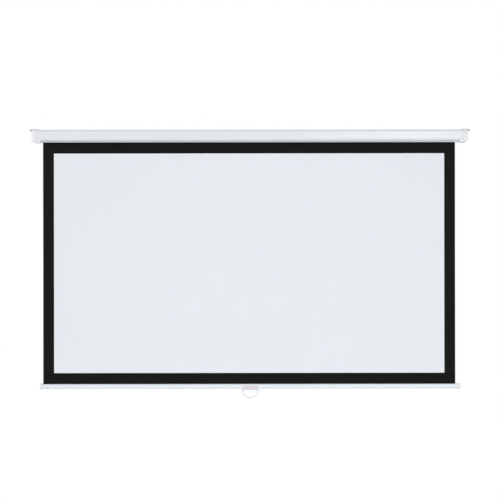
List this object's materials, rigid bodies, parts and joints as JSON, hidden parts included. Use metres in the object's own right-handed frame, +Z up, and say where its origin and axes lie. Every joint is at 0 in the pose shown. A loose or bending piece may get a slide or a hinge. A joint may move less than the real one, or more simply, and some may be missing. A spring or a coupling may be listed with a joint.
{
  "type": "pull down projector screen",
  "caption": "Wall or ceiling hung projection screen with a white spring roller case, a matt white cloth with a black border and a weight bar with a wire pull loop.",
  "frame": {"origin": "middle of the case's flat back face, on the wall plane, level with the roller's axis", "axes": "+X to the viewer's right along the case, +Y into the wall, +Z up"},
  "size_m": [2.249, 0.0685, 1.3787],
  "materials": {
    "case_paint": "cool white powder coat, semi-matt",
    "cap_plastic": "moulded, fine grain",
    "sheet_steel": "stamped from galvanised sheet, dull grey",
    "zinc_steel": "zinc plated",
    "spring_wire": "oiled spring wire",
    "nylon": "natural moulded",
    "matt_white": "matt coated, very fine grain",
    "black_coat": "matt black coating",
    "bar_paint": "cool white coat on an extrusion",
    "handle_plastic": "moulded, satin",
    "wire_steel": "white coated wire"
  },
  "bodies": {
    "case": {"case_shell": "case_paint", "end_cap_left": "cap_plastic", "end_cap_right": "cap_plastic", "hanger_left": "sheet_steel", "hanger_right": "sheet_steel", "idle_bush": "nylon", "torsion_spring": "spring_wire", "hanger_screw_left_1": "zinc_steel", "hanger_screw_left_2": "zinc_steel", "hanger_screw_right_1": "zinc_steel", "hanger_screw_right_2": "zinc_steel", "cap_screw_left_1": "zinc_steel", "cap_screw_left_2": "zinc_steel", "cap_screw_right_1": "zinc_steel", "cap_screw_right_2": "zinc_steel", "idle_lock_screw": "zinc_steel", "spear_bracket": "zinc_steel", "idle_bracket": "zinc_steel", "spear_bracket_rivet_1": "zinc_steel", "spear_bracket_rivet_2": "zinc_steel", "idle_bracket_rivet_1": "zinc_steel", "idle_bracket_rivet_2": "zinc_steel", "spring_shaft": "zinc_steel", "ratchet_wheel": "zinc_steel", "shaft_clip": "zinc_steel", "spring_collet": "zinc_steel", "viewing_surface": "matt_white", "border_mask": "black_coat", "black_backing": "black_coat"},
    "roller": {"roller_tube": "zinc_steel", "fabric_spline": "nylon", "fabric_wraps": "black_coat", "pawl_carrier": "zinc_steel", "carrier_bush": "nylon", "pawl_pin_upper": "zinc_steel", "pawl_pin_lower": "zinc_steel", "drive_plug": "nylon", "idle_plug": "nylon", "idle_pin": "zinc_steel"},
    "pawl_upper": {"pawl_upper": "zinc_steel"},
    "pawl_lower": {"pawl_lower": "zinc_steel"},
    "weight_bar": {"bar_tube": "bar_paint", "bar_cap_left": "cap_plastic", "bar_cap_right": "cap_plastic", "bar_cap_screw_left": "zinc_steel", "bar_cap_screw_right": "zinc_steel", "fabric_hem": "black_coat", "hem_rod": "zinc_steel", "handle_base": "handle_plastic", "handle_screw_left": "zinc_steel", "handle_screw_right": "zinc_steel"},
    "pull_loop": {"pull_loop": "wire_steel"}
  },
  "joints": [
    {"name": "bar_travel", "type": "slide", "parent": "case", "child": "weight_bar", "axis": [0, 0, 1], "range_m": [0, 1.225], "deforming": ["viewing_surface", "border_mask", "black_backing"]},
    {"name": "roller_spin", "type": "hinge", "parent": "case", "child": "roller", "pos_m": [0, -0.03352, 0], "axis": [1, 0, 0], "range_deg": [0, 3240]},
    {"name": "pawl_upper_swing", "type": "hinge", "parent": "roller", "child": "pawl_upper", "pos_m": [0, -0.03352, 0.015], "axis": [1, 0, 0], "range_deg": [-12, 12]},
    {"name": "pawl_lower_swing", "type": "hinge", "parent": "roller", "child": "pawl_lower", "pos_m": [0, -0.03352, -0.015], "axis": [1, 0, 0], "range_deg": [-12, 12]},
    {"name": "handle_swing", "type": "hinge", "parent": "weight_bar", "child": "pull_loop", "pos_m": [0, -0.012, -1.29652], "axis": [1, 0, 0], "range_deg": [-90, 90]}
  ],
  "couplings": [
    {"joint": "roller_spin", "follows": "bar_travel", "rad_per_m": 46.162}
  ]
}
